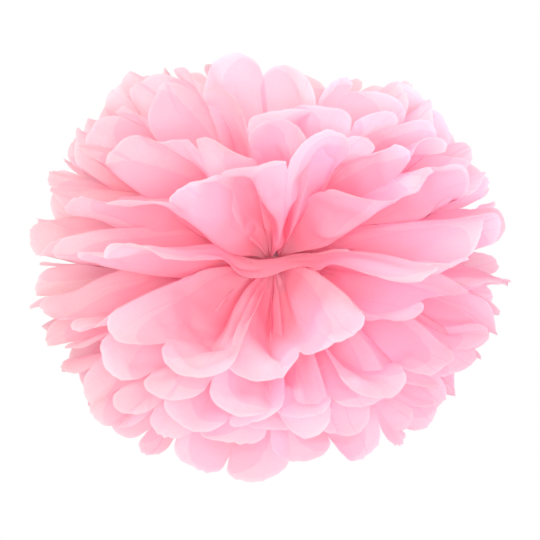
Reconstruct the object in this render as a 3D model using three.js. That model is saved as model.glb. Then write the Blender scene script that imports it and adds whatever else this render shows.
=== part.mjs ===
// A tissue paper pom pom: ten sheets of tissue, fan-folded together into pleats, tied round the middle
// with a wire, and their ends cut to half rounds. The pleats fan out on both sides of the tie, then the
// sheets are pulled apart, five up and five down, into a ball of round petals.
//
// Millimetres, +Z up. The origin is the middle of the tie. The pleats leave the tie along +X and -X, so the
// seams between the two fans face -Y (the front) and +Y.

import * as THREE from "three";

// Driving dimensions.
const PLEATS = 12; // accordion pleats across a sheet
const SHEET_WIDTH = 500;
const PLEAT_WIDTH = SHEET_WIDTH / PLEATS; // from one fold to the next
const HALF_LENGTH = 175; // along the paper, from the tie to a petal's tip
const PETAL_RADIUS = PLEAT_WIDTH / 2; // the half round cut at the end of each pleat
const PAPER_THICKNESS = 0.2;

// The wire, and the twist that its two ends make above the bundle.
const WIRE_DIAMETER = 0.9;
const WIRE_GAP = 0.6; // between the wire and the bundle
const WIRE_CORNER_RADIUS = 1.2; // of its middle line at the bundle's corners
const WIRE_STEPS = 84; // lengths that the wire is drawn in
const TWIST_RADIUS = 0.62; // from the twist's axis to a strand's middle
const TWIST_TURNS = 3;
const TWIST_TURN_HEIGHT = 5;
const TWIST_STEPS_PER_TURN = 6;

// How each sheet leans, top sheet first: degrees above (+) or below (-) the horizontal.
const SHEET_RISES = [61, 49, 37, 25, 11, -3, -14, -26, -38, -51];
// How far each fan opens to either side of its middle, in degrees.
const WIDEST_SWING = 92.5;

// The gathered bundle inside the tie.
const TIE_HALF_LENGTH = 3; // the pleats run straight for this far each side of the wire
const BUNDLE_FOLD_PITCH = 2; // sideways, from fold to fold
const BUNDLE_SHEET_PITCH = 1.5; // upwards, from sheet to sheet
const BUNDLE_FOLD_HEIGHT = 2.2; // how far a fold stands from its sheet's middle

// How the paper opens out beyond the tie.
const FAN_OPEN_BY = 11; // horizontally, where the folds have swung to their own directions
const LEAN_FROM = 10; // along the paper, where the sheets begin to lean apart
const LEAN_FULL_BY = 40; // and where they lean fully
const FOLDS_FULL_BY = 80; // along the paper, where the crushed folds have their full height again
const ROOT_LEAN = 1.1; // a petal rises more steeply than its sheet's lean at the root
const TIP_LEAN = 0.98; // and less steeply at the tip
const PATH_STEP = 1; // the length of one step in summing up a fold's path

// Where a sheet has rows of vertices: distances along the paper from the tie.
const ROWS = [0, TIE_HALF_LENGTH, 6.5, 12, 20, 36, 75, HALF_LENGTH - PETAL_RADIUS];
const PETAL_ARC_STEPS = 5;

const degrees = THREE.MathUtils.degToRad;

// Where a fold's middle line is, with the local direction across the sheet's surface. It starts in the bundle
// and adds up short steps, so its length along the paper is true. Seen from above, the same fold follows the
// same curve in every sheet, so the sheets stay nested however far they are pulled apart.
function foldPath(rise, swing, start, along) {
  const point = start.clone();
  const steps = Math.max(1, Math.ceil(along / PATH_STEP));
  const step = along / steps;
  let across = 0; // horizontal distance from the tie
  let heading = 0;
  let climb = 0;
  for (let i = 0; i < steps; i++) {
    const middle = (i + 0.5) * step;
    const lean = THREE.MathUtils.lerp(ROOT_LEAN, TIP_LEAN, middle / HALF_LENGTH);
    climb = degrees(rise * lean) * THREE.MathUtils.smoothstep(middle, LEAN_FROM, LEAN_FULL_BY);
    heading = degrees(swing) * THREE.MathUtils.smoothstep(across, TIE_HALF_LENGTH, FAN_OPEN_BY);
    const advance = step * Math.cos(climb);
    point.x += advance * Math.cos(heading);
    point.y += advance * Math.sin(heading);
    point.z += step * Math.sin(climb);
    across += advance;
  }
  const normal = new THREE.Vector3(
    -Math.sin(climb) * Math.cos(heading),
    -Math.sin(climb) * Math.sin(heading),
    Math.cos(climb),
  );
  return { point, normal };
}

// The height of the folds above and below a sheet's middle: whatever of the pleat's width the fan's spread
// doesn't use, less near the tie, where the wire crushes them.
function foldHeight(spread, along) {
  const free = Math.sqrt(Math.max(PLEAT_WIDTH ** 2 - spread ** 2, 0)) / 2;
  const recovered = THREE.MathUtils.smoothstep(along, LEAN_FROM, FOLDS_FULL_BY);
  return THREE.MathUtils.lerp(BUNDLE_FOLD_HEIGHT, Math.max(free, BUNDLE_FOLD_HEIGHT), recovered);
}

// A point on a fold of a sheet's right-hand fan. Folds alternate up and down, all sheets in step.
function foldPoint(sheetNumber, fold, along) {
  const rise = SHEET_RISES[sheetNumber];
  const swingOf = (f) => WIDEST_SWING * (f / PLEATS - 0.5) * 2;
  const startOf = (f) =>
    new THREE.Vector3(
      0,
      (f - PLEATS / 2) * BUNDLE_FOLD_PITCH,
      ((SHEET_RISES.length - 1) / 2 - sheetNumber) * BUNDLE_SHEET_PITCH,
    );
  const here = foldPath(rise, swingOf(fold), startOf(fold), along);
  const inner = fold > 0 ? fold - 1 : fold + 1;
  const beside = foldPath(rise, swingOf(inner), startOf(inner), along);
  const height = foldHeight(here.point.distanceTo(beside.point), along);
  return here.point.addScaledVector(here.normal, fold % 2 === 0 ? height : -height);
}

// The sheet's middle surface: flat pleat panels between folds, each ending in a half round petal.
// Returns { points, triangles }.
function sheetSurface(sheetNumber) {
  const points = [];
  const triangles = [];
  const add = (point, mirrored) => points.push(mirrored ? point.setX(-point.x) : point) - 1;

  const tieRow = Array.from({ length: PLEATS + 1 }, (_, fold) => add(foldPoint(sheetNumber, fold, 0)));
  for (const mirrored of [false, true]) {
    // A left-hand fan is the mirror image, so its triangles turn the other way.
    const triangle = (a, b, c) => triangles.push(mirrored ? [a, c, b] : [a, b, c]);
    const rows = [tieRow];
    for (const along of ROWS.slice(1)) {
      rows.push(tieRow.map((_, fold) => add(foldPoint(sheetNumber, fold, along), mirrored)));
    }
    const last = rows.at(-1);
    for (let pleat = 0; pleat < PLEATS; pleat++) {
      for (let row = 0; row + 1 < rows.length; row++) {
        const [a, b] = [rows[row][pleat], rows[row][pleat + 1]];
        const [c, d] = [rows[row + 1][pleat + 1], rows[row + 1][pleat]];
        triangle(a, c, b);
        triangle(a, d, c);
      }
      const rim = [last[pleat]];
      for (let i = 1; i < PETAL_ARC_STEPS; i++) {
        const angle = (Math.PI * i) / PETAL_ARC_STEPS;
        const along = HALF_LENGTH - PETAL_RADIUS + PETAL_RADIUS * Math.sin(angle);
        const across = (1 - Math.cos(angle)) / 2;
        const near = foldPoint(sheetNumber, pleat, along);
        rim.push(add(near.lerp(foldPoint(sheetNumber, pleat + 1, along), across), mirrored));
      }
      rim.push(last[pleat + 1]);
      for (let i = 1; i + 1 < rim.length; i++) {
        triangle(rim[0], rim[i], rim[i + 1]);
      }
    }
  }
  return { points, triangles };
}

// Gives a surface its paper thickness: a copy of it on either side, joined round the edge.
function thickened({ points, triangles }, thickness) {
  const faceNormals = triangles.map((t) => new THREE.Triangle(...t.map((i) => points[i])).getNormal(new THREE.Vector3()));
  const normals = points.map(() => new THREE.Vector3());
  triangles.forEach((t, i) => {
    for (const turn of [0, 1, 2]) {
      const [corner, next, previous] = [t[turn], t[(turn + 1) % 3], t[(turn + 2) % 3]];
      const toNext = points[next].clone().sub(points[corner]);
      const toPrevious = points[previous].clone().sub(points[corner]);
      normals[corner].addScaledVector(faceNormals[i], toNext.angleTo(toPrevious));
    }
  });
  normals.forEach((normal) => normal.normalize());

  // At a fold the two faces are mitred, so the offset grows with the fold's sharpness.
  const squareness = points.map(() => 1);
  const sharpestMitre = 1 / 3;
  triangles.forEach((t, i) => {
    for (const corner of t) {
      const cosine = Math.max(normals[corner].dot(faceNormals[i]), sharpestMitre);
      squareness[corner] = Math.min(squareness[corner], cosine);
    }
  });

  const side = (sign) =>
    points.map((point, i) => point.clone().addScaledVector(normals[i], (sign * thickness) / 2 / squareness[i]));
  const vertices = [...side(1), ...side(-1)];
  const under = points.length;
  const faces = [...triangles, ...triangles.map(([a, b, c]) => [a + under, c + under, b + under])];

  const key = (a, b) => a * under + b;
  const halfEdges = new Set();
  for (const [a, b, c] of triangles) {
    [key(a, b), key(b, c), key(c, a)].forEach((edge) => halfEdges.add(edge));
  }
  for (const [a, b, c] of triangles) {
    for (const [from, to] of [[a, b], [b, c], [c, a]]) {
      if (halfEdges.has(key(to, from))) continue;
      faces.push([from, from + under, to + under], [from, to + under, to]);
    }
  }

  const geometry = new THREE.BufferGeometry().setFromPoints(vertices);
  geometry.setIndex(faces.flat());
  geometry.computeVertexNormals();
  return geometry;
}

// The tie: one length of wire round the bundle, its two ends twisted together above it and cut off.
function tieWire() {
  const bundleHalfWidth = (PLEATS / 2) * BUNDLE_FOLD_PITCH;
  const bundleHalfHeight = ((SHEET_RISES.length - 1) / 2) * BUNDLE_SHEET_PITCH + BUNDLE_FOLD_HEIGHT;
  const wireMiddle = WIRE_GAP + WIRE_DIAMETER / 2; // from the bundle to the wire's middle line
  const halfWidth = bundleHalfWidth + wireMiddle;
  const halfHeight = bundleHalfHeight + wireMiddle;

  // One strand of the twist, from its cut end down to the bundle.
  const twisted = (side) => {
    const count = TWIST_TURNS * TWIST_STEPS_PER_TURN;
    return Array.from({ length: count }, (_, i) => {
      const turnsLeft = (count - i) / TWIST_STEPS_PER_TURN;
      const angle = 2 * Math.PI * turnsLeft;
      return new THREE.Vector3(
        side * TWIST_RADIUS * Math.sin(angle),
        side * TWIST_RADIUS * Math.cos(angle),
        halfHeight + turnsLeft * TWIST_TURN_HEIGHT,
      );
    });
  };

  // Down one side of the bundle, from beside the twist to the corner underneath.
  const downSide = (side) => {
    const corner = (upOrDown) =>
      [0, 1, 2].map((i) => {
        const angle = (Math.PI / 4) * (upOrDown > 0 ? i : 2 - i);
        return new THREE.Vector3(
          0,
          side * (halfWidth - WIRE_CORNER_RADIUS * (1 - Math.sin(angle))),
          upOrDown * (halfHeight - WIRE_CORNER_RADIUS * (1 - Math.cos(angle))),
        );
      });
    const besideTwist = new THREE.Vector3(0, side * 2 * WIRE_DIAMETER, halfHeight);
    return [besideTwist, ...corner(1), new THREE.Vector3(0, side * halfWidth, 0), ...corner(-1)];
  };

  const route = [
    ...twisted(1),
    ...downSide(1),
    new THREE.Vector3(0, 0, -halfHeight),
    ...downSide(-1).reverse(),
    ...twisted(-1).reverse(),
  ];
  const section = new THREE.Shape();
  section.absarc(0, 0, WIRE_DIAMETER / 2, 0, 2 * Math.PI);
  return new THREE.ExtrudeGeometry(section, {
    steps: WIRE_STEPS,
    curveSegments: 3,
    extrudePath: new THREE.CatmullRomCurve3(route, false, "centripetal"),
  });
}

const tissue = new THREE.MeshStandardMaterial({ color: 0xf6bccd, roughness: 0.9, metalness: 0, side: THREE.DoubleSide });
const wire = new THREE.MeshStandardMaterial({ color: 0xb9bcc0, roughness: 0.35, metalness: 1 });

function part(name, geometry, material) {
  const mesh = new THREE.Mesh(geometry, material);
  mesh.name = name;
  return mesh;
}

const pomPom = new THREE.Group();
SHEET_RISES.forEach((_, sheetNumber) => {
  const name = `tissue_sheet_${String(sheetNumber + 1).padStart(2, "0")}`;
  pomPom.add(part(name, thickened(sheetSurface(sheetNumber), PAPER_THICKNESS), tissue));
});
pomPom.add(part("tie_wire", tieWire(), wire));

export default pomPom;
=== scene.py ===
import logging
import math
from dataclasses import dataclass, field
from enum import Enum

import bmesh
import bpy
import numpy as np
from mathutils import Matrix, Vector


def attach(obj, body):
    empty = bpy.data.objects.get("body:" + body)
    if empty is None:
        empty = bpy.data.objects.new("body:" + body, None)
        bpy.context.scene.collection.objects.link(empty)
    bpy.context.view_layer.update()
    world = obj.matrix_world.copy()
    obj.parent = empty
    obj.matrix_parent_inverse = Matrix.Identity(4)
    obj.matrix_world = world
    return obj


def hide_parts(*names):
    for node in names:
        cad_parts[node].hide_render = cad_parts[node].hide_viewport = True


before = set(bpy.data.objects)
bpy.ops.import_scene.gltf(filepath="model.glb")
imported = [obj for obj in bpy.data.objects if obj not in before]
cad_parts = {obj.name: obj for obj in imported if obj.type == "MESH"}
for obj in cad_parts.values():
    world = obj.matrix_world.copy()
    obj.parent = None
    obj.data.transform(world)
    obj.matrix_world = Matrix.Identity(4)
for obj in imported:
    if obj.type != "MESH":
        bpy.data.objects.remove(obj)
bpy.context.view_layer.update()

logging.basicConfig(level=logging.INFO, format="%(message)s")
LOG = logging.getLogger("pom_pom")

MM = 0.001
SHEETS = 10
PLEATS = 12


class Side(Enum):
    """The two fans of a sheet, either side of the tie."""

    RIGHT = 1
    LEFT = -1


def smooth_step(value: np.ndarray, start: float, end: float) -> np.ndarray:
    """Ramps smoothly from 0 at start to 1 at end.

    Args:
        value: The numbers to ramp.
        start: Where the ramp begins.
        end: Where the ramp ends.

    Returns:
        The ramped numbers.
    """
    t = np.clip((value - start) / (end - start), 0.0, 1.0)
    return t * t * (3.0 - 2.0 * t)


def between(first: np.ndarray, second: np.ndarray, share: np.ndarray) -> np.ndarray:
    """Blends two arrays of points by a share for each point.

    Args:
        first: Points at share 0.
        second: Points at share 1.
        share: One number for each point.

    Returns:
        The blended points.
    """
    return first + (second - first) * share[..., None]


def round_end(across: np.ndarray, roundness: np.ndarray) -> np.ndarray:
    """Draws a petal's rounded end: 0 at its two folds, 1 in the middle.

    Args:
        across: 0 on one fold to 1 on the next.
        roundness: 2 for a half round, and more for a squarer end.

    Returns:
        How far out each point of the end is.
    """
    return np.clip(1.0 - np.abs(2.0 * across - 1.0) ** roundness, 0.0, 1.0) ** (1.0 / roundness)


def ramped(tree: bpy.types.NodeTree, value: bpy.types.NodeSocket, start: float, end: float,
           low: float, high: float) -> bpy.types.NodeSocket:
    """Adds a node that ramps a value.

    Args:
        tree: The material's nodes.
        value: What is ramped.
        start: The value at which the ramp begins.
        end: The value at which it ends.
        low: The result at the start.
        high: The result at the end.

    Returns:
        The result.
    """
    node = tree.nodes.new("ShaderNodeMapRange")
    node.inputs["From Min"].default_value = start
    node.inputs["From Max"].default_value = end
    node.inputs["To Min"].default_value = low
    node.inputs["To Max"].default_value = high
    tree.links.new(value, node.inputs["Value"])
    return node.outputs["Result"]


def painted_over(tree: bpy.types.NodeTree, share: bpy.types.NodeSocket, paper_colour: bpy.types.NodeSocket,
         other: tuple[float, float, float]) -> bpy.types.NodeSocket:
    """Adds a node that paints another colour over the paper's colour: here painted shade or painted light.

    Args:
        tree: The material's nodes.
        share: How much of the other colour there is.
        paper_colour: The colour before, the dye with any paint already on it.
        other: The other colour.

    Returns:
        The colour after, with the painted shade or light on it.
    """
    node = tree.nodes.new("ShaderNodeMix")
    node.data_type = "RGBA"
    tree.links.new(share, node.inputs["Factor"])
    tree.links.new(paper_colour, node.inputs["A"])
    node.inputs["B"].default_value = (*other, 1.0)
    return node.outputs["Result"]


def seen_as(tree: bpy.types.NodeTree, lighting: bpy.types.NodeSocket, seen: bpy.types.NodeSocket,
            surface: bpy.types.NodeSocket) -> None:
    """Gives a surface one look for the camera and another for the light that it throws on things.

    Args:
        tree: The material's or the room's nodes.
        lighting: The look that lights things.
        seen: The look that the camera sees.
        surface: The output that takes both.
    """
    path = tree.nodes.new("ShaderNodeLightPath")
    mix = tree.nodes.new("ShaderNodeMixShader")
    tree.links.new(path.outputs["Is Camera Ray"], mix.inputs["Fac"])
    tree.links.new(lighting, mix.inputs[1])
    tree.links.new(seen, mix.inputs[2])
    tree.links.new(mix.outputs["Shader"], surface)


@dataclass(frozen=True)
class TissueFinish:
    """Dyed tissue paper: thin, matt, lit through from behind, with fibres and fine crumples, painted shade
    along its creases and where a petal lies behind, and painted light along its cut edge.
    """

    name: str = "dyed_tissue"
    sheet_size: tuple[float, float] = (500 * MM, 350 * MM)
    colour: tuple[float, float, float] = (0.994, 0.728, 0.807)
    pale: tuple[float, float, float] = (0.994, 0.78, 0.85)
    # Painted light: a paler colour painted along the cut edge, over this width.
    rim: tuple[float, float, float] = (0.998, 0.87, 0.92)
    rim_light_share: float = 0.55
    rim_width: float = 4 * MM
    # Painted shade: a deeper colour painted into the creases and where the petal behind lies close.
    painted_shade: tuple[float, float, float] = (0.994, 0.60, 0.735)
    # The most of the painted overlap shade.
    overlap_shade_share: float = 0.5
    outline: tuple[float, float] = (-0.4 * MM, 0.6 * MM)
    fibres_per_metre: float = 420.0
    crease_stretch: float = 0.1
    creases_per_metre: float = 45.0
    crease_width: tuple[float, float] = (0.004, 0.03)
    crease_patches_per_metre: float = 16.0
    crease_patch: tuple[float, float] = (0.42, 0.62)
    crease_shade_strength: float = 0.65
    crumples_per_metre: float = 34.0
    crumple_height: float = 1.2 * MM
    crumple_strength: float = 0.6
    light_through: float = 0.55
    roughness: float = 0.8
    sheen: float = 0.15

    def flat_places(self, tree: bpy.types.NodeTree, stretch: float) -> bpy.types.NodeSocket:
        """Adds the places on the flat sheet, in metres.

        Args:
            tree: The material's nodes.
            stretch: How far the distances along the petals are squeezed, which stretches a pattern.

        Returns:
            The places.
        """
        where = tree.nodes.new("ShaderNodeUVMap")
        where.uv_map = "flat_sheet"
        size = tree.nodes.new("ShaderNodeMapping")
        size.inputs["Scale"].default_value = (self.sheet_size[0], self.sheet_size[1] * stretch, 1.0)
        tree.links.new(where.outputs["UV"], size.inputs["Vector"])
        return size.outputs["Vector"]

    def fibres(self, tree: bpy.types.NodeTree, places: bpy.types.NodeSocket) -> bpy.types.NodeSocket:
        """Mottles the dye with the paper's fibres.

        Args:
            tree: The material's nodes.
            places: The places on the flat sheet.

        Returns:
            The mottled dye.
        """
        fibres = tree.nodes.new("ShaderNodeTexNoise")
        fibres.inputs["Scale"].default_value = self.fibres_per_metre
        fibres.inputs["Detail"].default_value = 4.0
        fibres.inputs["Roughness"].default_value = 0.65
        tree.links.new(places, fibres.inputs["Vector"])
        shade = tree.nodes.new("ShaderNodeValToRGB")
        shade.color_ramp.elements[0].position = 0.3
        shade.color_ramp.elements[0].color = (*self.colour, 1.0)
        shade.color_ramp.elements[1].position = 0.75
        shade.color_ramp.elements[1].color = (*self.pale, 1.0)
        tree.links.new(fibres.outputs["Fac"], shade.inputs["Fac"])
        return shade.outputs["Color"]

    def creases(self, tree: bpy.types.NodeTree, places: bpy.types.NodeSocket) -> bpy.types.NodeSocket:
        """Paints shade along the creases that run along the petals: thin darker lines that come and go.

        Args:
            tree: The material's nodes.
            places: The places on the flat sheet.

        Returns:
            How much painted crease shade each point gets.
        """
        cracks = tree.nodes.new("ShaderNodeTexVoronoi")
        cracks.feature = "DISTANCE_TO_EDGE"
        cracks.inputs["Scale"].default_value = self.creases_per_metre
        tree.links.new(self.flat_places(tree, self.crease_stretch), cracks.inputs["Vector"])
        patches = tree.nodes.new("ShaderNodeTexNoise")
        patches.inputs["Scale"].default_value = self.crease_patches_per_metre
        tree.links.new(places, patches.inputs["Vector"])
        crease_shade = tree.nodes.new("ShaderNodeMath")
        crease_shade.operation = "MULTIPLY"
        lines = ramped(tree, cracks.outputs["Distance"], *self.crease_width, 1.0, 0.0)
        comes_and_goes = ramped(tree, patches.outputs["Fac"], *self.crease_patch, 0.0, self.crease_shade_strength)
        tree.links.new(lines, crease_shade.inputs[0])
        tree.links.new(comes_and_goes, crease_shade.inputs[1])
        return crease_shade.outputs["Value"]

    def crumples(self, tree: bpy.types.NodeTree, places: bpy.types.NodeSocket) -> bpy.types.NodeSocket:
        """Adds the fine crumples that catch the light.

        Args:
            tree: The material's nodes.
            places: The places on the flat sheet.

        Returns:
            The way that the crumpled paper faces.
        """
        crumple = tree.nodes.new("ShaderNodeTexNoise")
        crumple.noise_type = "RIDGED_MULTIFRACTAL"
        crumple.inputs["Scale"].default_value = self.crumples_per_metre
        crumple.inputs["Detail"].default_value = 3.0
        crumple.inputs["Roughness"].default_value = 0.5
        tree.links.new(places, crumple.inputs["Vector"])
        bump = tree.nodes.new("ShaderNodeBump")
        bump.inputs["Strength"].default_value = self.crumple_strength
        bump.inputs["Distance"].default_value = self.crumple_height
        tree.links.new(crumple.outputs["Fac"], bump.inputs["Height"])
        return bump.outputs["Normal"]

    def material(self) -> bpy.types.Material:
        """Builds the material.

        Returns:
            The tissue paper material.
        """
        made = bpy.data.materials.new(self.name)
        made.use_nodes = True
        tree = made.node_tree
        tree.nodes.clear()
        link = tree.links.new
        output = tree.nodes.new("ShaderNodeOutputMaterial")
        places = self.flat_places(tree, 1.0)
        # Painted shade: the creases are painted in as darker lines over the fibres.
        paper_colour = painted_over(tree, self.creases(tree, places), self.fibres(tree, places), self.painted_shade)

        # Painted shade: a deeper shade with a clear outline is painted where the petal behind lies close, in
        # place of the light that two layers hold back.
        behind = tree.nodes.new("ShaderNodeAttribute")
        behind.attribute_name = "painted_overlap_mask"
        shadow = ramped(tree, behind.outputs["Fac"], *self.outline, 0.0, self.overlap_shade_share)
        paper_colour = painted_over(tree, shadow, paper_colour, self.painted_shade)

        # Painted light: the cut edge is painted paler, standing in for the light that comes through its
        # single layer.
        edge = tree.nodes.new("ShaderNodeAttribute")
        edge.attribute_name = "from_rim"
        painted_rim_light = ramped(tree, edge.outputs["Fac"], 0.0, self.rim_width, self.rim_light_share, 0.0)
        paper_colour = painted_over(tree, painted_rim_light, paper_colour, self.rim)

        facing = self.crumples(tree, places)
        paper = tree.nodes.new("ShaderNodeBsdfPrincipled")
        paper.inputs["Roughness"].default_value = self.roughness
        paper.inputs["Specular IOR Level"].default_value = self.sheen
        link(paper_colour, paper.inputs["Base Color"])
        link(facing, paper.inputs["Normal"])
        through = tree.nodes.new("ShaderNodeBsdfTranslucent")
        link(paper_colour, through.inputs["Color"])
        link(facing, through.inputs["Normal"])
        mix = tree.nodes.new("ShaderNodeMixShader")
        mix.inputs["Fac"].default_value = self.light_through
        link(paper.outputs["BSDF"], mix.inputs[1])
        link(through.outputs["BSDF"], mix.inputs[2])
        link(mix.outputs["Shader"], output.inputs["Surface"])
        return made


@dataclass(frozen=True)
class FanPose:
    """How one fan of a sheet has been opened out, in degrees.

    The front and back are how far it opens either way from its middle. The front petals have a lift of their
    own. Where the outer front pleats are loose, they stand up in a hump close to the tie.
    """

    rise: float
    front: float
    back: float
    front_lift: float = 0.0
    loose_edge: bool = False
    hump: float = 0.0


@dataclass(frozen=True)
class LooseFold:
    """A loose fold. It passes in front of the tie, raised and swaying, and then joins its fan."""

    forward: float
    raised: float
    sway: float
    turn: float
    turn_from: float
    turn_full_by: float


@dataclass(frozen=True)
class Folds:
    """The folds of one fan: distances along the paper, each fold's middle line, and its offsets from it."""

    along: np.ndarray
    middles: np.ndarray
    offsets: np.ndarray

    def at(self, lines: np.ndarray, fold: int, where: np.ndarray) -> np.ndarray:
        """Reads one fold's line at distances along the paper.

        Args:
            lines: Middle lines or offsets.
            fold: Which fold.
            where: Distances along the paper.

        Returns:
            A point for each distance.
        """
        return np.stack([np.interp(where, self.along, lines[fold, :, axis]) for axis in range(3)], axis=-1)


@dataclass(frozen=True)
class Creases:
    """A set of straight creases, scattered over a sheet at random."""

    count: int
    along_range: tuple[float, float]
    angle_spread: float
    length: float
    width: float
    depth: float

    def height(self, u: np.ndarray, v: np.ndarray, sheet_width: float,
               rng: np.random.Generator) -> np.ndarray:
        """Works out how far the creases stand from the smooth paper.

        Args:
            u: For each vertex, its place across the flat sheet.
            v: For each vertex, its place along the flat sheet.
            sheet_width: The width of the flat sheet.
            rng: The sheet's random numbers.

        Returns:
            A height for each vertex.
        """
        height = np.zeros_like(u)
        for _ in range(self.count):
            at_u = rng.uniform(0.0, sheet_width)
            at_v = rng.uniform(*self.along_range) * rng.choice((-1.0, 1.0))
            angle = rng.normal(0.0, self.angle_spread)
            length = self.length * rng.uniform(0.6, 1.5)
            width = self.width * rng.uniform(0.7, 1.4)
            depth = self.depth * rng.normal(0.0, 1.0)
            off = (u - at_u) * math.cos(angle) - (v - at_v) * math.sin(angle)
            down = (u - at_u) * math.sin(angle) + (v - at_v) * math.cos(angle)
            height += depth * np.exp(-np.abs(off) / width - (down / length) ** 2)
        return height


@dataclass
class TissueSheet:
    """One sheet of tissue: cut to shape, fan-folded, fanned out both ways from the tie and leaned."""

    number: int
    left: FanPose
    right: FanPose
    left_reach: float = 179 * MM
    right_reach: float = 171 * MM
    width: float = 500 * MM
    notch_depth: float = 21 * MM
    roundness: float = 2.2
    columns: int = 16
    rows: int = 46
    path_samples: int = 141
    # The widest that a petal opens, and the most of its paper that lies flat, as shares of a pleat's width.
    widest_share: float = 0.97
    flat_share: float = 0.985
    # The bundle inside the tie.
    bundle_fold_pitch: float = 1.8 * MM
    waist: float = 0.62
    bundle_fold_height: float = 3.0 * MM
    bundle_sheet_pitch: float = 1.4 * MM
    # How unevenly the sheet was opened, in degrees.
    lean_wave: float = 2.3
    lean_spread: float = 3.2
    swing_spread: float = 3.2
    tip_curl: float = -2.0
    tip_curl_spread: float = 5.0
    # How the upper and lower sheets are pushed apart by the loose pleat between them, in degrees.
    kick: float = 35.0
    kick_length: float = 29 * MM
    # The loose folds, front first, where a pose has them.
    loose_folds: tuple[LooseFold, ...] = (
        LooseFold(49 * MM, -5 * MM, 4.0 * MM, 0.95, 3 * MM, 42 * MM),
        LooseFold(33 * MM, 3 * MM, 2.0 * MM, 0.94, 3 * MM, 38 * MM),
        LooseFold(13 * MM, 2 * MM, 0.8 * MM, 0.95, 2 * MM, 30 * MM),
    )
    loose_fold_height: float = 0.5 * MM
    right_sway_length: float = 62 * MM
    left_sway_length: float = 84 * MM
    rng: np.random.Generator = field(init=False)

    def __post_init__(self) -> None:
        """Seeds the sheet's own stream of random numbers."""
        self.rng = np.random.default_rng(1000 + self.number)

    @property
    def name(self) -> str:
        """The CAD node that the sheet stands for."""
        return f"tissue_sheet_{self.number:02d}"

    def reach(self, side: Side) -> float:
        """How far a fan's petals reach along the paper from the tie."""
        return self.right_reach if side is Side.RIGHT else self.left_reach

    @property
    def pleat_width(self) -> float:
        """The width of a pleat, from one fold to the next."""
        return self.width / PLEATS

    def swings(self, pose: FanPose, reach: float, leans: np.ndarray, bunching: float) -> np.ndarray:
        """Shares a fan's opening among its petals: wide by the seams, bunched in the middle.

        Args:
            pose: How the fan is opened out.
            reach: How far the petals reach.
            leans: Each petal's lean, in radians.
            bunching: How much narrower each petal is than the one before it, away from a seam.

        Returns:
            Each fold's swing from the fan's middle, in radians, front first.
        """
        rng = self.rng
        shared = np.random.default_rng(77).normal(0.0, 0.14, PLEATS)
        own = rng.normal(0.0, 0.12, PLEATS)
        from_seam = np.minimum(np.arange(PLEATS), np.arange(PLEATS)[::-1])
        wanted = np.exp(-bunching * from_seam + shared + own)
        radius = (reach - self.notch_depth) * np.cos(leans)
        widest = self.widest_share * self.pleat_width
        total = math.radians(pose.front + pose.back)
        low, high = 0.0, 20.0
        for _ in range(40):
            scale = 0.5 * (low + high)
            angles = np.minimum(widest, scale * wanted) / radius
            if angles.sum() < total:
                low = scale
            else:
                high = scale
        shortfall = angles.sum() / total
        start = -math.radians(pose.front) * (0.5 + 0.5 * shortfall)
        return start + np.concatenate([[0.0], np.cumsum(angles)])

    def crushed_heights(self, middles: np.ndarray, along: np.ndarray, loose: bool) -> np.ndarray:
        """Works out how far each fold stands from its middle line: little in the tie, and fully beyond it.

        Args:
            middles: The folds' middle lines.
            along: Distances along the paper.
            loose: Whether the outer front folds are loose.

        Returns:
            A height for each fold and distance.
        """
        spread = np.linalg.norm(middles[1:] - middles[:-1], axis=-1)
        spare = (self.flat_share * self.pleat_width) ** 2 - spread**2
        free = np.sqrt(np.maximum(spare, (0.1 * self.pleat_width) ** 2)) / 2.05
        height = np.empty(middles.shape[:2])
        height[1:-1] = 0.5 * (free[1:] + free[:-1])
        height[0] = 0.4 * free[0]
        height[-1] = 0.4 * free[-1]
        crushed = np.full((len(middles), 1), self.bundle_fold_height)
        if loose:
            height[0] *= 0.2
            height[1] *= 0.3
            crushed[: len(self.loose_folds)] = self.loose_fold_height
        return crushed + (height - crushed) * smooth_step(along, 4 * MM, 80 * MM)

    def folds(self, side: Side) -> Folds:
        """Works out the folds of one fan.

        Args:
            side: Which fan.

        Returns:
            The folds.
        """
        pose = self.right if side is Side.RIGHT else self.left
        rng = self.rng
        reach = self.reach(side)
        along = np.linspace(0.0, reach, self.path_samples)
        share = along / reach
        count = PLEATS + 1
        fold_number = np.arange(count)
        through_fan = np.sin(math.pi * fold_number / PLEATS)
        lean = math.radians(pose.rise)
        # Slow waves from fold to fold, so neighbouring petals lean together.
        wave = sum(
            rng.normal(0.0, 1.0) * np.sin(fold_number * frequency + rng.uniform(0.0, 2.0 * math.pi))
            for frequency in (0.35, 0.8, 1.3)
        )
        lean_noise = np.radians(self.lean_wave * wave + rng.normal(0.0, self.lean_spread, count))
        swing_noise = np.radians(rng.normal(0.0, self.swing_spread, count))
        tip_curl = np.radians(rng.normal(self.tip_curl, self.tip_curl_spread, count))
        toward_front = np.clip(1.0 - fold_number / 5.0, 0.0, 1.0) ** 1.5
        # A top petal that points away from the seams droops to a rounded shoulder.
        shoulder = 0.2 * max(math.sin(lean), 0.0) * through_fan**2
        leans = lean * (1.0 - shoulder) + math.radians(pose.front_lift) * toward_front
        petal_lean = 0.5 * (leans[1:] + leans[:-1] + lean_noise[1:] + lean_noise[:-1])
        bunching = 0.04 + 0.24 * math.sin(abs(lean)) ** 1.5
        swing = self.swings(pose, reach, petal_lean, bunching)

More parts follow.
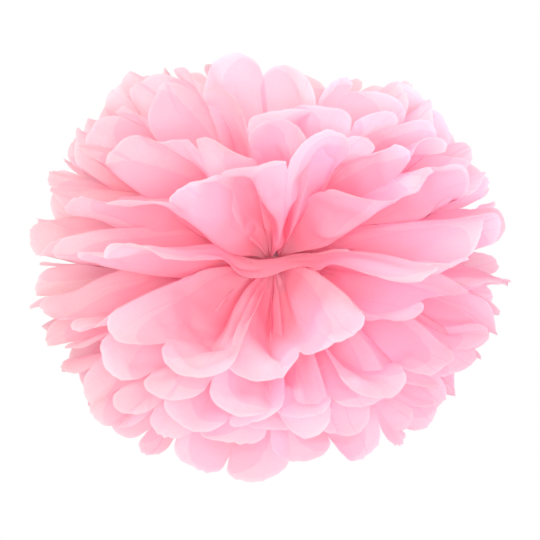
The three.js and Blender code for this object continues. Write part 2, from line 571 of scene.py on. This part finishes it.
        # Near the tie the outermost folds swing a little too far, which closes the seams between the fans.
        overswing = 0.04 + 0.19 * np.exp(-np.minimum(fold_number, PLEATS - fold_number) / 1.2)
        turn = 1.0 + overswing[:, None] * np.exp(-along / (25 * MM))
        turn = turn * smooth_step(along, 0.3 * MM, 6 * MM)
        start_y = (fold_number - PLEATS / 2) * self.bundle_fold_pitch
        swelling = (self.waist + (1.0 - self.waist) * smooth_step(along, 0.5 * MM, 4 * MM))[None, :]
        sideways = start_y[:, None] * swelling
        raised = np.zeros_like(sideways)
        lift = np.tile(smooth_step(along, 1 * MM, 24 * MM), (count, 1))
        hump = np.zeros_like(along)
        if pose.loose_edge:
            # The outer pleats weren't caught by the wire: they bow forward past the tie in one long edge.
            fading = 1.0 - smooth_step(along, 10 * MM, 90 * MM)
            sway_length = self.right_sway_length if side is Side.RIGHT else self.left_sway_length
            swaying = side.value * np.sin(2.0 * math.pi * along / sway_length)
            for fold, loose in enumerate(self.loose_folds):
                turn[fold] = loose.turn * smooth_step(along, loose.turn_from, loose.turn_full_by)
                sideways[fold] = -loose.forward
                raised[fold] = (loose.raised + loose.sway * swaying) * fading
            lean_noise[1] = lean_noise[0] + math.radians(0.8)
            lift[0] = lift[1] = smooth_step(along, 15 * MM, 70 * MM)
            over_hump = np.clip((along - 2 * MM) / (56 * MM), 0.0, 1.0)
            hump = math.radians(pose.hump) * np.sin(math.pi * over_hump)
        arch = 0.14 + 0.55 * math.sin(abs(lean)) ** 2
        heading = swing[:, None] * turn + swing_noise[:, None] * share**1.5
        climb = (leans[:, None] * (1.03 + arch * (0.5 - share)) + lean_noise[:, None] * share) * lift
        climb[:2] += hump
        if not pose.loose_edge:
            # Close to the tie the sheets above and below the loose pleat are pushed well apart.
            kick = math.copysign(math.radians(self.kick), SHEETS / 2 - self.number) * math.cos(lean) ** 2
            kicks = kick * (0.3 + 0.7 * np.exp(-((fold_number / 3.0) ** 2)))
            climb += kicks[:, None] * np.exp(-along / self.kick_length) * smooth_step(along, 1 * MM, 8 * MM)
        climb = climb + tip_curl[:, None] * share**3
        step = along[1] - along[0]
        direction = np.stack(
            [np.cos(climb) * np.cos(heading), np.cos(climb) * np.sin(heading), np.sin(climb)], axis=-1
        )
        # The steeper the sheet, the more of its paper is gathered in wrinkles round the tie.
        gathered = (0.24 + 0.26 * through_fan) * math.sin(abs(lean))
        near_tie = 1.0 - smooth_step(along, 20 * MM, 70 * MM)
        direction = direction * (1.0 - gathered[:, None] * near_tie)[..., None]
        travelled = np.cumsum(0.5 * (direction[:, 1:] + direction[:, :-1]) * step, axis=1)
        middles = np.concatenate([np.zeros((count, 1, 3)), travelled], axis=1)
        middles[:, :, 1] += sideways
        middles[:, :, 2] += raised
        middles[:, :, 2] += ((SHEETS + 1) / 2 - self.number) * self.bundle_sheet_pitch

        height = self.crushed_heights(middles, along, pose.loose_edge)
        normal = np.stack(
            [-np.sin(climb) * np.cos(heading), -np.sin(climb) * np.sin(heading), np.cos(climb)], axis=-1
        )
        sign = np.where(fold_number % 2 == (1 if pose.loose_edge else 0), 1.0, -1.0)
        offsets = normal * (height * sign[:, None])[..., None]
        mirror = np.array([side.value, 1.0, 1.0])
        return Folds(along, middles * mirror, offsets * mirror)

    def creases(self, u: np.ndarray, v: np.ndarray) -> np.ndarray:
        """Draws the sheet's creases: long ones gathered at the tie, and short ones all over.

        Args:
            u: For each vertex, its place across the flat sheet.
            v: For each vertex, its place along the flat sheet.

        Returns:
            How far each vertex stands from the smooth petal.
        """
        long_ones = Creases(150, (25 * MM, 150 * MM), 0.10, 45 * MM, 4 * MM, 2.8 * MM)
        short_ones = Creases(130, (50 * MM, 172 * MM), 1.2, 18 * MM, 6 * MM, 2.4 * MM)
        height = long_ones.height(u, v, self.width, self.rng)
        return height + short_ones.height(u, v, self.width, self.rng)

    def petal(self, folds: Folds, side: Side, pleat: int, across: np.ndarray, length: np.ndarray,
              crease: np.ndarray) -> np.ndarray:
        """Places the vertices of one petal between two folds.

        Args:
            folds: The fan's folds.
            side: Which fan.
            pleat: Which pleat.
            across: For each vertex, 0 on one fold to 1 on the next.
            length: For each vertex, its distance along the paper from the tie.
            crease: For each vertex, how far the creases push it.

        Returns:
            The vertices' places.
        """
        rng = self.rng
        reach = self.reach(side)
        rounding = rng.uniform(0.15, 0.65) * smooth_step(length, 15 * MM, 80 * MM)
        rounded = (1.0 - np.cos(math.pi * across)) / 2.0
        share = across + (rounded - across) * rounding
        first = folds.at(folds.middles, pleat, length)
        second = folds.at(folds.middles, pleat + 1, length)
        first_offset = folds.at(folds.offsets, pleat, length)
        second_offset = folds.at(folds.offsets, pleat + 1, length)
        place = between(first, second, across) + between(first_offset, second_offset, share)

        ahead = np.minimum(length + 2 * MM, reach)
        behind = np.maximum(length - 2 * MM, 0.0)
        line = folds.middles + folds.offsets
        forward = between(
            folds.at(line, pleat, ahead) - folds.at(line, pleat, behind),
            folds.at(line, pleat + 1, ahead) - folds.at(line, pleat + 1, behind),
            across,
        )
        sideways = second + second_offset - first - first_offset
        normal = np.cross(forward, sideways) * -side.value
        normal /= np.maximum(np.linalg.norm(normal, axis=-1, keepdims=True), 1e-9)

        crown = np.sin(math.pi * across)
        cup = rng.normal(-2.0, 2.5) * MM * (1.0 if self.number <= SHEETS // 2 else -1.0)
        curl = rng.normal(0.0, 5.0) * MM
        tip = np.clip((length - 0.55 * reach) / (0.45 * reach), 0.0, 1.0)
        bulge = cup * crown * smooth_step(length, 20 * MM, 110 * MM)
        bulge += curl * tip**2 * crown**0.7
        u = (pleat + across) * self.pleat_width
        v = length * side.value
        ruffle = np.zeros_like(u)
        waves = 6
        for _ in range(waves):
            angle, phase = rng.uniform(0.0, 2.0 * math.pi, 2)
            number = 2.0 * math.pi / (48 * MM * rng.uniform(0.7, 1.4))
            ruffle += np.sin(number * (u * math.cos(angle) + v * math.sin(angle)) + phase)
        ruffle *= 0.9 * MM / math.sqrt(waves / 2)
        bulge += ruffle * crown**0.6 * smooth_step(length, 8 * MM, 60 * MM)
        bulge += crease * crown**0.4 * smooth_step(length, 4 * MM, 30 * MM)
        return place + normal * bulge[..., None]

    def painted_overlap_mask(self, across: np.ndarray, pleat: np.ndarray, length: np.ndarray,
                     reach: float) -> np.ndarray:
        """Finds where the next petal lies close behind each petal, which is where its painted overlap shade
        goes.

        Args:
            across: For each vertex, 0 on one fold to 1 on the next.
            pleat: For each vertex, its pleat.
            length: For each vertex, its distance along the paper from the tie.
            reach: How far the petals reach.

        Returns:
            How far inside the outline of the petal behind each vertex is.
        """
        rng = np.random.default_rng(5000 + self.number)
        opened = rng.uniform(0.25, 0.85, PLEATS)[pleat]
        flipped = rng.random(PLEATS)[pleat] < 0.5
        shorter = rng.uniform(0.0, 14.0, PLEATS)[pleat] * MM
        from_fold = np.where(flipped, across, 1.0 - across)
        beside = from_fold + opened * length / reach
        end = reach - shorter - self.notch_depth * (1.0 - round_end(beside, self.roundness))
        return np.minimum(end - length, (1.0 - beside) * self.pleat_width)

    def cut_reach(self, side: Side, across: np.ndarray, pleat: np.ndarray) -> np.ndarray:
        """Cuts the petals' round ends, by hand: no two are quite alike, and the edge wavers.

        Args:
            side: Which fan.
            across: For each vertex, 0 on one fold to 1 on the next.
            pleat: For each vertex, its pleat.

        Returns:
            How far the paper reaches along the line of each vertex.
        """
        rng = self.rng
        notch = self.notch_depth + rng.normal(0.0, 1.2 * MM, PLEATS + 1)
        short = np.abs(rng.normal(0.0, 1.5 * MM, PLEATS))
        roundness = self.roundness * rng.uniform(0.85, 1.2, PLEATS)
        skew = np.exp(rng.normal(0.0, 0.08, PLEATS))
        rim = round_end(across ** skew[pleat], roundness[pleat])
        depth = notch[pleat] + (notch[pleat + 1] - notch[pleat]) * across
        snips = np.zeros_like(across)
        for _ in range(4):
            size = rng.uniform(0.15, 0.4) * MM
            snips += size * np.sin((pleat + across) * rng.uniform(14.0, 45.0) + rng.uniform(0.0, 6.3))
        return self.reach(side) - depth * (1.0 - rim) - (short[pleat] - snips) * rim

    def flat_grid(self) -> tuple[bpy.types.Mesh, np.ndarray, np.ndarray]:
        """Makes the sheet's mesh, as an even grid.

        Returns:
            The mesh, and the column and the row of each vertex. The tie is at row 0.
        """
        across, down = PLEATS * self.columns, 2 * self.rows
        grid = bmesh.new()
        bmesh.ops.create_grid(grid, x_segments=across, y_segments=down, size=0.5, calc_uvs=False)
        grid.loops.layers.uv.new("flat_sheet")
        data = bpy.data.meshes.new(self.name + "_paper")
        grid.to_mesh(data)
        grid.free()
        flat = np.empty(len(data.vertices) * 3)
        data.vertices.foreach_get("co", flat)
        flat = flat.reshape(-1, 3)
        column = np.rint((flat[:, 0] + 0.5) * across).astype(int)
        row = np.rint((flat[:, 1] + 0.5) * down).astype(int) - self.rows
        return data, column, row

    def build(self, finish: bpy.types.Material) -> bpy.types.Object:
        """Cuts, folds, fans out and leans the sheet.

        Args:
            finish: The tissue paper material.

        Returns:
            The finished piece.
        """
        data, column, row = self.flat_grid()
        pleat = np.minimum(column // self.columns, PLEATS - 1)
        across = (column - pleat * self.columns) / self.columns
        # Columns lie closer together towards the folds.
        across = 0.55 * across + 0.45 * (1.0 - np.cos(math.pi * across)) / 2.0
        fans = ((Side.RIGHT, row >= 0), (Side.LEFT, row < 0))
        length = np.zeros(len(row))
        from_rim = np.zeros(len(row))
        # Where the painted overlap shade goes on each vertex.
        behind = np.zeros(len(row))
        for side, chosen in fans:
            full = self.cut_reach(side, across[chosen], pleat[chosen])
            # Rows lie closer together towards the rim.
            t = np.abs(row[chosen]) / self.rows
            length[chosen] = (1.25 * t - 0.25 * t * t) * full
            from_rim[chosen] = full - length[chosen]
            behind[chosen] = self.painted_overlap_mask(
                across[chosen], pleat[chosen], length[chosen], self.reach(side)
            )

        u = (pleat + across) * self.pleat_width
        v = length * np.where(row >= 0, 1.0, -1.0)
        crease = self.creases(u, v)
        places = np.empty((len(row), 3))
        for side, in_fan in fans:
            folds = self.folds(side)
            for number in range(PLEATS):
                chosen = in_fan & (pleat == number)
                places[chosen] = self.petal(
                    folds, side, number, across[chosen], length[chosen], crease[chosen]
                )

        data.vertices.foreach_set("co", places.ravel())
        # These steer the painted rim light and the painted overlap shade in the material.
        for name, values in (("from_rim", from_rim), ("painted_overlap_mask", behind)):
            data.attributes.new(name, "FLOAT", "POINT").data.foreach_set("value", values)
        corner = np.empty(len(data.loops), dtype=int)
        data.loops.foreach_get("vertex_index", corner)
        total = self.left_reach + self.right_reach
        spot = np.stack([u / self.width, (v + self.left_reach) / total], axis=-1)
        data.uv_layers["flat_sheet"].data.foreach_set("uv", spot[corner].ravel())
        data.polygons.foreach_set("use_smooth", np.ones(len(data.polygons), dtype=bool))
        data.update()
        piece = bpy.data.objects.new(self.name + "_paper", data)
        bpy.context.scene.collection.objects.link(piece)
        data.materials.append(finish)
        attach(piece, "root")
        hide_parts(self.name)
        # Each round end cuts away 0.19 of the notch's depth times the pleat's width.
        return piece


@dataclass(frozen=True)
class WireFinish:
    """Bright drawn steel wire, with fine scratches along it."""

    name: str = "drawn_steel"
    colour: tuple[float, float, float] = (0.62, 0.62, 0.64)
    dull: tuple[float, float, float] = (0.40, 0.40, 0.42)
    scratches_per_metre: float = 1800.0
    roughness: tuple[float, float] = (0.28, 0.5)

    def material(self) -> bpy.types.Material:
        """Builds the material.

        Returns:
            The steel wire material.
        """
        made = bpy.data.materials.new(self.name)
        made.use_nodes = True
        tree = made.node_tree
        link = tree.links.new
        steel = tree.nodes["Principled BSDF"]
        steel.inputs["Metallic"].default_value = 1.0
        where = tree.nodes.new("ShaderNodeTexCoord")
        scratches = tree.nodes.new("ShaderNodeTexNoise")
        scratches.inputs["Scale"].default_value = self.scratches_per_metre
        scratches.inputs["Detail"].default_value = 3.0
        link(where.outputs["Object"], scratches.inputs["Vector"])
        shade = tree.nodes.new("ShaderNodeValToRGB")
        shade.color_ramp.elements[0].color = (*self.dull, 1.0)
        shade.color_ramp.elements[1].color = (*self.colour, 1.0)
        link(scratches.outputs["Fac"], shade.inputs["Fac"])
        link(shade.outputs["Color"], steel.inputs["Base Color"])
        rough = ramped(tree, scratches.outputs["Fac"], 0.0, 1.0, *self.roughness)
        link(rough, steel.inputs["Roughness"])
        return made


@dataclass
class TieWire:
    """The wire round the bundle, its two ends twisted together above it."""

    diameter: float = 0.9 * MM
    half_width: float = 13.05 * MM
    half_height: float = 10.0 * MM
    corner: float = 1.2 * MM
    twist_radius: float = 0.62 * MM
    twist_turns: int = 3
    turn_height: float = 5 * MM
    steps_per_turn: int = 16
    corner_steps: int = 4
    sides: int = 12

    def route(self) -> list[Vector]:
        """Works out the wire's middle line, from one cut end to the other.

        Returns:
            The points of the line.
        """
        strand = []
        for i in range(self.twist_turns * self.steps_per_turn):
            turns_left = self.twist_turns - i / self.steps_per_turn
            angle = 2.0 * math.pi * turns_left
            sway = self.twist_radius * Vector((math.sin(angle), math.cos(angle), 0.0))
            strand.append(sway + Vector((0.0, 0.0, self.half_height + turns_left * self.turn_height)))
        half = strand + [Vector((0.0, 2.0 * self.diameter, self.half_height))]
        # Round the bundle's upper corner and then its lower one.
        for up in (1.0, -1.0):
            for i in range(self.corner_steps + 1):
                angle = 0.5 * math.pi * i / self.corner_steps
                out, over = math.sin(angle), math.cos(angle)
                if up < 0.0:
                    out, over = over, out
                half.append(Vector((
                    0.0,
                    self.half_width - self.corner * (1.0 - out),
                    up * (self.half_height - self.corner * (1.0 - over)),
                )))
        other = [Vector((-point.x, -point.y, point.z)) for point in reversed(half)]
        return half + [Vector((0.0, 0.0, -self.half_height))] + other

    def build(self, finish: bpy.types.Material) -> bpy.types.Object:
        """Draws the wire along its route.

        Args:
            finish: The steel wire material.

        Returns:
            The finished piece.
        """
        route = self.route()
        wire = bmesh.new()
        radius = self.diameter / 2
        ring = bmesh.ops.create_circle(wire, cap_ends=True, segments=self.sides, radius=radius)["verts"]
        facing = (route[1] - route[0]).normalized()
        turn = Vector((0.0, 0.0, 1.0)).rotation_difference(facing).to_matrix()
        bmesh.ops.rotate(wire, verts=ring, cent=(0.0, 0.0, 0.0), matrix=turn)
        bmesh.ops.translate(wire, verts=ring, vec=route[0])
        end = wire.faces[:]
        # Each length is drawn out of the last end. The start keeps its cap; the ends between lose theirs.
        for i in range(1, len(route)):
            moved = bmesh.ops.extrude_face_region(wire, geom=end)["geom"]
            if i > 1:
                bmesh.ops.delete(wire, geom=end, context="FACES_ONLY")
            ring = [part for part in moved if isinstance(part, bmesh.types.BMVert)]
            end = [part for part in moved if isinstance(part, bmesh.types.BMFace)]
            bmesh.ops.translate(wire, verts=ring, vec=route[i] - route[i - 1])
            ahead = (route[min(i + 1, len(route) - 1)] - route[i - 1]).normalized()
            turn = facing.rotation_difference(ahead).to_matrix()
            bmesh.ops.rotate(wire, verts=ring, cent=route[i], matrix=turn)
            facing = ahead
        bmesh.ops.recalc_face_normals(wire, faces=wire.faces[:])
        data = bpy.data.meshes.new("tie_wire_drawn")
        wire.to_mesh(data)
        wire.free()
        data.polygons.foreach_set("use_smooth", np.ones(len(data.polygons), dtype=bool))
        piece = bpy.data.objects.new("tie_wire_drawn", data)
        bpy.context.scene.collection.objects.link(piece)
        data.materials.append(finish)
        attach(piece, "root")
        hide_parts("tie_wire")
        return piece


@dataclass(frozen=True)
class SoftLight:
    """A square panel that faces the pom pom: its place, its side, its power in watts and its colour."""

    name: str
    place: tuple[float, float, float]
    size: float
    power: float
    colour: tuple[float, float, float]

    def build(self) -> None:
        """Hangs the light."""
        data = bpy.data.lights.new(self.name, "AREA")
        data.size = self.size
        data.energy = self.power
        data.color = self.colour
        light = bpy.data.objects.new(self.name, data)
        light.location = self.place
        light.rotation_euler = (-Vector(self.place)).to_track_quat("-Z", "Y").to_euler()
        bpy.context.scene.collection.objects.link(light)


@dataclass
class Studio:
    """The camera, the soft lights, the room and the pale floor.

    The light is warm from the left and cool from the right.
    """

    camera_elevation: float = 8.0
    camera_distance: float = 0.918
    lens: float = 85.0
    aim: tuple[float, float, float] = (-0.003, 0.0, -0.0085)
    room_light: float = 0.54
    floor_colour: tuple[float, float, float] = (0.68, 0.58, 0.62)
    floor_drop: float = 0.6
    floor_half_width: float = 6.0
    bounces: int = 24
    diffuse_bounces: int = 16
    lights: tuple[SoftLight, ...] = (
        SoftLight("key", (1.25, -0.7, -0.3), 0.6, 9.0, (0.96, 0.60, 1.0)),
        SoftLight("fill", (-0.8, -1.0, 0.8), 0.9, 7.5, (1.0, 0.95, 0.56)),
        SoftLight("front", (0.0, -1.4, 0.12), 0.6, 14.3, (1.0, 0.96, 0.965)),
        SoftLight("overhead", (-0.2, -0.3, 1.3), 1.2, 6.0, (1.0, 0.98, 0.96)),
        SoftLight("rear", (0.2, 1.25, 0.45), 1.2, 9.5, (1.0, 0.95, 0.94)),
    )

    def camera(self) -> None:
        """Sets the camera at the front, a little above the tie."""
        data = bpy.data.cameras.new("camera")
        data.lens = self.lens
        camera = bpy.data.objects.new("camera", data)
        bpy.context.scene.collection.objects.link(camera)
        lift = math.radians(self.camera_elevation)
        aim = Vector(self.aim)
        back = Vector((0.0, -math.cos(lift), math.sin(lift)))
        camera.location = aim + back * self.camera_distance
        camera.rotation_euler = (-back).to_track_quat("-Z", "Y").to_euler()
        bpy.context.scene.camera = camera

    def room(self) -> None:
        """Surrounds the scene with soft light, which the camera sees as plain white."""
        world = bpy.data.worlds.new("surroundings")
        world.use_nodes = True
        tree = world.node_tree
        room = tree.nodes["Background"]
        room.inputs["Color"].default_value = (1.0, 1.0, 1.0, 1.0)
        room.inputs["Strength"].default_value = self.room_light
        wall = tree.nodes.new("ShaderNodeBackground")
        wall.inputs["Color"].default_value = (1.0, 1.0, 1.0, 1.0)
        surface = tree.nodes["World Output"].inputs["Surface"]
        seen_as(tree, room.outputs["Background"], wall.outputs["Background"], surface)
        bpy.context.scene.world = world

    def floor(self) -> None:
        """Lays the pale floor, which the camera sees as plain white."""
        mesh = bmesh.new()
        bmesh.ops.create_grid(mesh, x_segments=1, y_segments=1, size=self.floor_half_width)
        bmesh.ops.translate(mesh, vec=(0.0, 0.0, -self.floor_drop), verts=mesh.verts)
        data = bpy.data.meshes.new("floor")
        mesh.to_mesh(data)
        mesh.free()
        floor = bpy.data.objects.new("floor", data)
        bpy.context.scene.collection.objects.link(floor)
        finish = bpy.data.materials.new("pale_floor")
        finish.use_nodes = True
        tree = finish.node_tree
        matt = tree.nodes["Principled BSDF"]
        matt.inputs["Base Color"].default_value = (*self.floor_colour, 1.0)
        matt.inputs["Roughness"].default_value = 1.0
        lit = tree.nodes.new("ShaderNodeEmission")
        surface = tree.nodes["Material Output"].inputs["Surface"]
        seen_as(tree, matt.outputs["BSDF"], lit.outputs["Emission"], surface)
        data.materials.append(finish)

    def build(self) -> None:
        """Sets up everything round the pom pom."""
        self.camera()
        for light in self.lights:
            light.build()
        self.room()
        self.floor()
        scene = bpy.context.scene
        scene.view_settings.view_transform = "Standard"
        # Light passes through many layers of tissue.
        scene.cycles.max_bounces = self.bounces
        scene.cycles.diffuse_bounces = self.diffuse_bounces
        scene.cycles.transmission_bounces = self.bounces


@dataclass
class PomPom:
    """The whole pom pom: ten sheets of tissue tied round the middle with wire. The top sheet comes first."""

    finish: TissueFinish = TissueFinish()
    wire_finish: WireFinish = WireFinish()
    left: tuple[FanPose, ...] = (
        FanPose(54.0, 86.0, 94.0, 1.0),
        FanPose(43.0, 101.0, 84.0),
        FanPose(31.0, 85.0, 96.0),
        FanPose(20.0, 112.0, 84.0, 5.0),
        FanPose(9.0, 76.0, 92.0, -3.0, True, 16.0),
        FanPose(-4.0, 80.0, 92.0, -4.0),
        FanPose(-12.0, 107.0, 80.0, -12.0),
        FanPose(-21.0, 92.0, 88.0, -3.0),
        FanPose(-31.0, 86.0, 95.0),
        FanPose(-43.0, 95.0, 88.0),
    )
    right: tuple[FanPose, ...] = (
        FanPose(54.0, 98.0, 88.0, 1.0),
        FanPose(42.0, 84.0, 99.0),
        FanPose(31.0, 98.0, 86.0),
        FanPose(21.0, 73.0, 98.0, 2.0),
        FanPose(9.0, 76.0, 92.0, -6.0, True, 14.0),
        FanPose(-1.0, 101.0, 80.0, -8.0),
        FanPose(-10.0, 72.0, 96.0, -6.0),
        FanPose(-19.0, 90.0, 92.0, -4.0),
        FanPose(-29.0, 97.0, 86.0),
        FanPose(-42.0, 89.0, 95.0),
    )

    def build(self) -> list[bpy.types.Object]:
        """Builds every sheet, and the wire.

        Returns:
            The finished pieces.
        """
        tissue = self.finish.material()
        pieces = []
        for number, (left, right) in enumerate(zip(self.left, self.right), start=1):
            sheet = TissueSheet(number, left, right)
            pieces.append(sheet.build(tissue))
            LOG.info("%s built", pieces[-1].name)
        pieces.append(TieWire().build(self.wire_finish.material()))
        LOG.info("%s built", pieces[-1].name)
        return pieces


def main() -> None:
    """Builds the scene."""
    Studio().build()
    PomPom().build()


if __name__ == "__main__":
    main()
